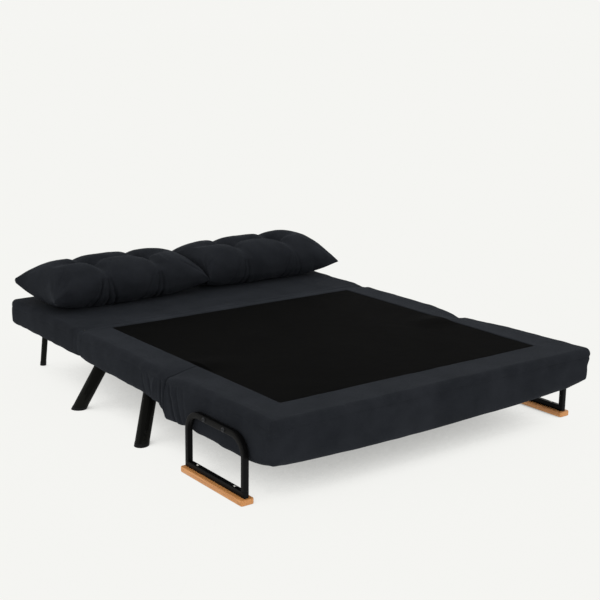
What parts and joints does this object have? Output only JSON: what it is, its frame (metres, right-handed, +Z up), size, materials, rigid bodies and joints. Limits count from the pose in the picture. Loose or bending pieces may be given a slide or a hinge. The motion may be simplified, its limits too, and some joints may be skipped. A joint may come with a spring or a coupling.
{
  "type": "futon sofa bed",
  "caption": "Folding futon sofa bed laid flat: upholstered sections on splayed tube legs, a ratchet backrest, a fold-over front with loop feet and skids, loose tufted pillows.",
  "frame": {"origin": "on the floor under the middle of the bed's overall box", "axes": "+Z up, +Y towards the head end with the pillows, +X to the right seen from the foot end"},
  "size_m": [1.5558, 1.9, 0.4775],
  "materials": {
    "cover": "matt charcoal woven upholstery fabric",
    "pillow": "matt charcoal woven upholstery fabric, tufted",
    "lining": "black non-woven lining",
    "foam": "cream open-cell foam",
    "webbing": "black woven elastic webbing",
    "frame": "satin black powder coat",
    "leg": "matt black powder coat",
    "hinge": "zinc-plated steel",
    "spring": "bright spring steel",
    "bolt": "black oxide",
    "screw": "nickel plated",
    "cap": "matt black moulded plastic",
    "wood": "oiled orange-brown oak"
  },
  "bodies": {
    "base": {"base_frame": "frame", "base_webbing": "webbing", "base_foam": "foam", "base_cover": "cover", "base_lining": "lining", "leg_front_left": "leg", "leg_cap_front_left": "cap", "leg_bolt_a_front_left": "bolt", "leg_bolt_b_front_left": "bolt", "leg_front_right": "leg", "leg_cap_front_right": "cap", "leg_bolt_a_front_right": "bolt", "leg_bolt_b_front_right": "bolt", "leg_rear_left": "leg", "leg_cap_rear_left": "cap", "leg_bolt_a_rear_left": "bolt", "leg_bolt_b_rear_left": "bolt", "leg_rear_right": "leg", "leg_cap_rear_right": "cap", "leg_bolt_a_rear_right": "bolt", "leg_bolt_b_rear_right": "bolt", "fold_hinge_pin_left": "hinge", "ratchet_plate_left": "hinge", "ratchet_bolt_left": "bolt", "fold_hinge_pin_right": "hinge", "ratchet_plate_right": "hinge", "ratchet_bolt_right": "bolt"},
    "backrest": {"back_frame": "frame", "back_webbing": "webbing", "back_foam": "foam", "back_cover": "cover", "ratchet_arm_left": "hinge", "pawl_spring_left": "spring", "ratchet_arm_right": "hinge", "pawl_spring_right": "spring"},
    "front": {"front_frame": "frame", "front_webbing": "webbing", "front_foam_bed_side": "foam", "front_foam_seat_side": "foam", "front_cover": "cover", "front_lining": "lining", "arm_loop_left": "frame", "wood_skid_left": "wood", "arm_bolt_a_left": "bolt", "arm_bolt_b_left": "bolt", "skid_screw_a_left": "screw", "skid_screw_b_left": "screw", "arm_loop_right": "frame", "wood_skid_right": "wood", "arm_bolt_a_right": "bolt", "arm_bolt_b_right": "bolt", "skid_screw_a_right": "screw", "skid_screw_b_right": "screw"},
    "rear_support": {"support_frame": "frame", "support_cap_left": "cap", "support_cap_right": "cap"},
    "pawl_left": {"ratchet_pawl_left": "hinge"},
    "pawl_right": {"ratchet_pawl_right": "hinge"},
    "pillow_left": {"pillow_left": "pillow"},
    "pillow_right": {"pillow_right": "pillow"}
  },
  "joints": [
    {"name": "front_fold", "type": "hinge", "parent": "base", "child": "front", "pos_m": [0, -0.315, 0.3], "axis": [-1, 0, 0], "range_deg": [0, 180]},
    {"name": "back_recline", "type": "hinge", "parent": "base", "child": "backrest", "pos_m": [0, 0.35, 0.279], "axis": [1, 0, 0], "range_deg": [0, 75]},
    {"name": "rear_support_fold", "type": "hinge", "parent": "backrest", "child": "rear_support", "pos_m": [0, 0.88, 0.178], "axis": [-1, 0, 0], "range_deg": [0, 102]},
    {"name": "ratchet_pawl_left_turn", "type": "hinge", "parent": "backrest", "child": "pawl_left", "pos_m": [-0.693, 0.372, 0.253], "axis": [1, 0, 0], "range_deg": [0, 8.5]},
    {"name": "pillow_left_lift", "type": "slide", "parent": "backrest", "child": "pillow_left", "axis": [0, 0, 1], "range_m": [0, 0.3]},
    {"name": "ratchet_pawl_right_turn", "type": "hinge", "parent": "backrest", "child": "pawl_right", "pos_m": [0.693, 0.372, 0.253], "axis": [1, 0, 0], "range_deg": [0, 8.5]},
    {"name": "pillow_right_lift", "type": "slide", "parent": "backrest", "child": "pillow_right", "axis": [0, 0, 1], "range_m": [0, 0.3]}
  ]
}
